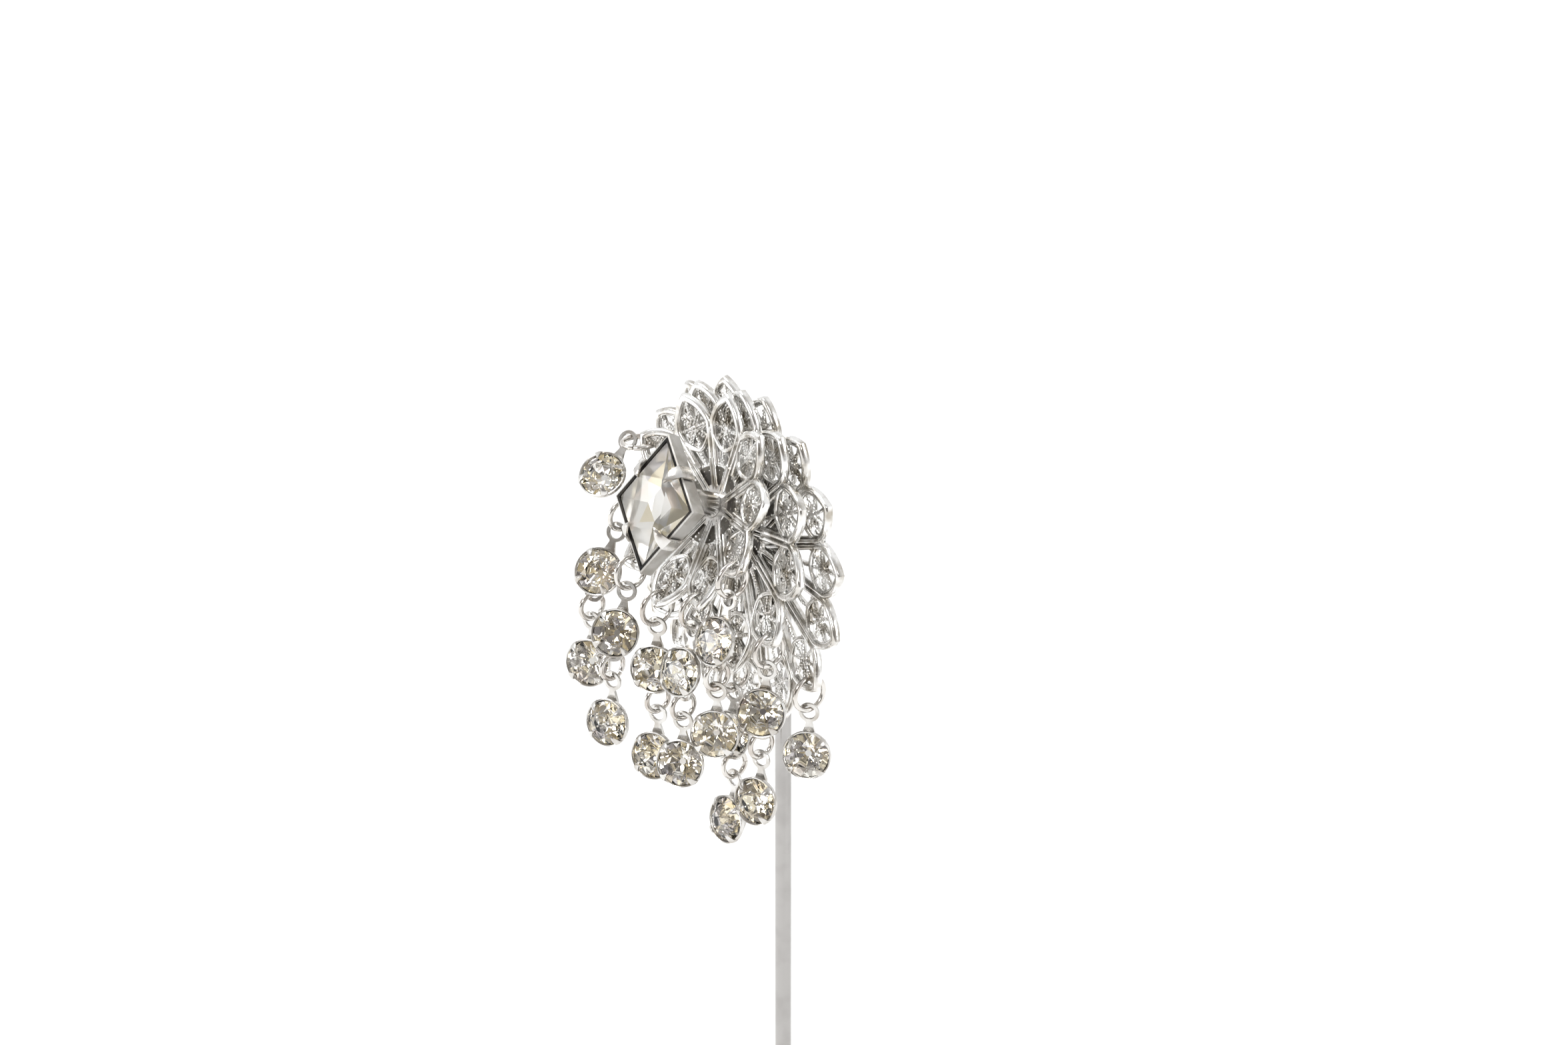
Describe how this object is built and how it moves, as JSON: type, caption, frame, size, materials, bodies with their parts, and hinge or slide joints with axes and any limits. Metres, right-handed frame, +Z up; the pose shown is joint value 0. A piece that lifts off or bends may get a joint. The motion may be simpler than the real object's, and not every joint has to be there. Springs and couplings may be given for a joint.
{
  "type": "hat pin",
  "caption": "Ornate hat pin: lozenge crystal on layered openwork filigree rosettes, with hanging crystal drops on jump rings and a long bent-neck pin.",
  "frame": {"origin": "on the shaft's axis, where the straight shaft leaves what it is pushed into", "axes": "+Z up along the shaft towards the head, the head looks along -Y tipped 24 degrees upwards, +X to the head's right"},
  "size_m": [0.0406, 0.0241, 0.1432],
  "materials": {
    "crystal": "clear faceted paste crystal, foil backed, polished",
    "setting_metal": "bright rhodium-like plate, polished, slightly worn at the claws",
    "filigree_metal": "bright plated stamped openwork with a fine granulated ground, warm grey in its hollows",
    "ring_metal": "bright drawn round wire",
    "pin_steel": "drawn steel wire, fine lengthwise polish"
  },
  "bodies": {
    "head": {"center_stone": "crystal", "stone_setting": "setting_metal", "center_post": "setting_metal", "filigree_front": "filigree_metal", "filigree_middle": "filigree_metal", "filigree_back": "filigree_metal", "spacer_collar": "setting_metal", "back_plate": "setting_metal", "pin_socket": "setting_metal", "pin_shaft": "pin_steel"},
    "link_a1": {"ring_a1": "ring_metal"},
    "drop_a1": {"setting_a1": "setting_metal", "stone_a1": "crystal"},
    "link_b1": {"ring_b1": "ring_metal"},
    "drop_b1": {"setting_b1": "setting_metal", "stone_b1": "crystal"},
    "link_b2": {"ring_b2": "ring_metal"},
    "drop_b2": {"setting_b2": "setting_metal", "stone_b2": "crystal"},
    "link_c1": {"ring_c1": "ring_metal"},
    "drop_c1": {"setting_c1": "setting_metal", "stone_c1": "crystal"},
    "link_c2": {"ring_c2": "ring_metal"},
    "drop_c2": {"setting_c2": "setting_metal", "stone_c2": "crystal"},
    "link_d1": {"ring_d1": "ring_metal"},
    "drop_d1": {"setting_d1": "setting_metal", "stone_d1": "crystal"},
    "link_d2": {"ring_d2": "ring_metal"},
    "drop_d2": {"setting_d2": "setting_metal", "stone_d2": "crystal"},
    "link_e1": {"ring_e1": "ring_metal"},
    "drop_e1": {"setting_e1": "setting_metal", "stone_e1": "crystal"},
    "link_e2": {"ring_e2": "ring_metal"},
    "drop_e2": {"setting_e2": "setting_metal", "stone_e2": "crystal"},
    "link_f1": {"ring_f1": "ring_metal"},
    "drop_f1": {"setting_f1": "setting_metal", "stone_f1": "crystal"},
    "link_f2": {"ring_f2": "ring_metal"},
    "drop_f2": {"setting_f2": "setting_metal", "stone_f2": "crystal"},
    "link_g1": {"ring_g1": "ring_metal"},
    "drop_g1": {"setting_g1": "setting_metal", "stone_g1": "crystal"},
    "link_g2": {"ring_g2": "ring_metal"},
    "drop_g2": {"setting_g2": "setting_metal", "stone_g2": "crystal"},
    "link_h1": {"ring_h1": "ring_metal"},
    "drop_h1": {"setting_h1": "setting_metal", "stone_h1": "crystal"},
    "link_i1": {"ring_i1": "ring_metal"},
    "drop_i1": {"setting_i1": "setting_metal", "stone_i1": "crystal"},
    "link_i2": {"ring_i2": "ring_metal"},
    "drop_i2": {"setting_i2": "setting_metal", "stone_i2": "crystal"}
  },
  "joints": [
    {"name": "swing_ring_a1", "type": "hinge", "parent": "head", "child": "link_a1", "pos_m": [-0.01169, -0.01151, 0.0192], "axis": [0.0872, 0, -0.9962], "range_deg": [0, 12]},
    {"name": "swing_drop_a1", "type": "hinge", "parent": "link_a1", "child": "drop_a1", "pos_m": [-0.01476, -0.01168, 0.01898], "axis": [0, 1, 0], "range_deg": [0, 25]},
    {"name": "swing_ring_b1", "type": "hinge", "parent": "head", "child": "link_b1", "pos_m": [-0.01099, -0.01453, 0.01226], "axis": [-1, 0, 0], "range_deg": [0, 30]},
    {"name": "swing_drop_b1", "type": "hinge", "parent": "link_b1", "child": "drop_b1", "pos_m": [-0.01114, -0.01497, 0.01131], "axis": [-1, 0, 0], "range_deg": [0, 25]},
    {"name": "swing_ring_b2", "type": "hinge", "parent": "drop_b1", "child": "link_b2", "pos_m": [-0.01142, -0.0196, 0.00139], "axis": [-1, 0, 0], "range_deg": [0, 20]},
    {"name": "swing_drop_b2", "type": "hinge", "parent": "link_b2", "child": "drop_b2", "pos_m": [-0.01142, -0.0196, 0.00049], "axis": [-1, 0, 0], "range_deg": [0, 20]},
    {"name": "swing_ring_c1", "type": "hinge", "parent": "head", "child": "link_c1", "pos_m": [-0.00666, -0.01693, 0.00713], "axis": [-1, 0, 0], "range_deg": [0, 30]},
    {"name": "swing_drop_c1", "type": "hinge", "parent": "link_c1", "child": "drop_c1", "pos_m": [-0.00666, -0.01721, 0.00612], "axis": [-1, 0, 0], "range_deg": [0, 25]},
    {"name": "swing_ring_c2", "type": "hinge", "parent": "drop_c1", "child": "link_c2", "pos_m": [-0.00666, -0.02004, -0.00448], "axis": [-1, 0, 0], "range_deg": [0, 20]},
    {"name": "swing_drop_c2", "type": "hinge", "parent": "link_c2", "child": "drop_c2", "pos_m": [-0.00666, -0.02004, -0.00538], "axis": [-1, 0, 0], "range_deg": [0, 20]},
    {"name": "swing_ring_d1", "type": "hinge", "parent": "head", "child": "link_d1", "pos_m": [-0.00035, -0.0179, 0.00515], "axis": [-1, 0, 0], "range_deg": [0, 20]},
    {"name": "swing_drop_d1", "type": "hinge", "parent": "link_d1", "child": "drop_d1", "pos_m": [-0.00035, -0.0179, 0.0041], "axis": [-1, 0, 0], "range_deg": [0, 25]},
    {"name": "swing_ring_d2", "type": "hinge", "parent": "drop_d1", "child": "link_d2", "pos_m": [-0.00035, -0.0179, -0.00687], "axis": [-1, 0, 0], "range_deg": [0, 20]},
    {"name": "swing_drop_d2", "type": "hinge", "parent": "link_d2", "child": "drop_d2", "pos_m": [-0.00035, -0.0179, -0.00776], "axis": [-1, 0, 0], "range_deg": [0, 20]},
    {"name": "swing_ring_e1", "type": "hinge", "parent": "head", "child": "link_e1", "pos_m": [0.00635, -0.01685, 0.00714], "axis": [-1, 0, 0], "range_deg": [0, 30]},
    {"name": "swing_drop_e1", "type": "hinge", "parent": "link_e1", "child": "drop_e1", "pos_m": [0.00635, -0.01703, 0.00611], "axis": [-1, 0, 0], "range_deg": [0, 25]},
    {"name": "swing_ring_e2", "type": "hinge", "parent": "drop_e1", "child": "link_e2", "pos_m": [0.00635, -0.01894, -0.0047], "axis": [-1, 0, 0], "range_deg": [0, 20]},
    {"name": "swing_drop_e2", "type": "hinge", "parent": "link_e2", "child": "drop_e2", "pos_m": [0.00635, -0.01894, -0.00559], "axis": [-1, 0, 0], "range_deg": [0, 20]},
    {"name": "swing_ring_f1", "type": "hinge", "parent": "head", "child": "link_f1", "pos_m": [0.01043, -0.01449, 0.01196], "axis": [-1, 0, 0], "range_deg": [0, 30]},
    {"name": "swing_drop_f1", "type": "hinge", "parent": "link_f1", "child": "drop_f1", "pos_m": [0.01043, -0.01471, 0.01093], "axis": [-1, 0, 0], "range_deg": [0, 25]},
    {"name": "swing_ring_f2", "type": "hinge", "parent": "drop_f1", "child": "link_f2", "pos_m": [0.01043, -0.01699, 0.0002], "axis": [-1, 0, 0], "range_deg": [0, 20]},
    {"name": "swing_drop_f2", "type": "hinge", "parent": "link_f2", "child": "drop_f2", "pos_m": [0.01043, -0.01699, -0.00069], "axis": [-1, 0, 0], "range_deg": [0, 20]},
    {"name": "swing_ring_g1", "type": "hinge", "parent": "head", "child": "link_g1", "pos_m": [0.01261, -0.01105, 0.00283], "axis": [0, -1, 0], "range_deg": [0, 10]},
    {"name": "swing_drop_g1", "type": "hinge", "parent": "link_g1", "child": "drop_g1", "pos_m": [0.01261, -0.01137, -0.00023], "axis": [0, -1, 0], "range_deg": [0, 15]},
    {"name": "swing_ring_g2", "type": "hinge", "parent": "drop_g1", "child": "link_g2", "pos_m": [0.01261, -0.01231, -0.00913], "axis": [0, -1, 0], "range_deg": [0, 12]},
    {"name": "swing_drop_g2", "type": "hinge", "parent": "link_g2", "child": "drop_g2", "pos_m": [0.01261, -0.01231, -0.01157], "axis": [0, -1, 0], "range_deg": [0, 12]},
    {"name": "swing_ring_h1", "type": "hinge", "parent": "head", "child": "link_h1", "pos_m": [0.01533, -0.00742, -0.00273], "axis": [1, 0, 0], "range_deg": [0, 30]},
    {"name": "swing_drop_h1", "type": "hinge", "parent": "link_h1", "child": "drop_h1", "pos_m": [0.01533, -0.00742, -0.00378], "axis": [1, 0, 0], "range_deg": [0, 25]},
    {"name": "swing_ring_i1", "type": "hinge", "parent": "head", "child": "link_i1", "pos_m": [0.00679, -0.01204, -0.00225], "axis": [0, 1, 0], "range_deg": [0, 10]},
    {"name": "swing_drop_i1", "type": "hinge", "parent": "link_i1", "child": "drop_i1", "pos_m": [0.00679, -0.01204, -0.00532], "axis": [0, 1, 0], "range_deg": [0, 15]},
    {"name": "swing_ring_i2", "type": "hinge", "parent": "drop_i1", "child": "link_i2", "pos_m": [0.00679, -0.01204, -0.01427], "axis": [0, 1, 0], "range_deg": [0, 12]},
    {"name": "swing_drop_i2", "type": "hinge", "parent": "link_i2", "child": "drop_i2", "pos_m": [0.00679, -0.01204, -0.01672], "axis": [0, 1, 0], "range_deg": [0, 12]}
  ]
}
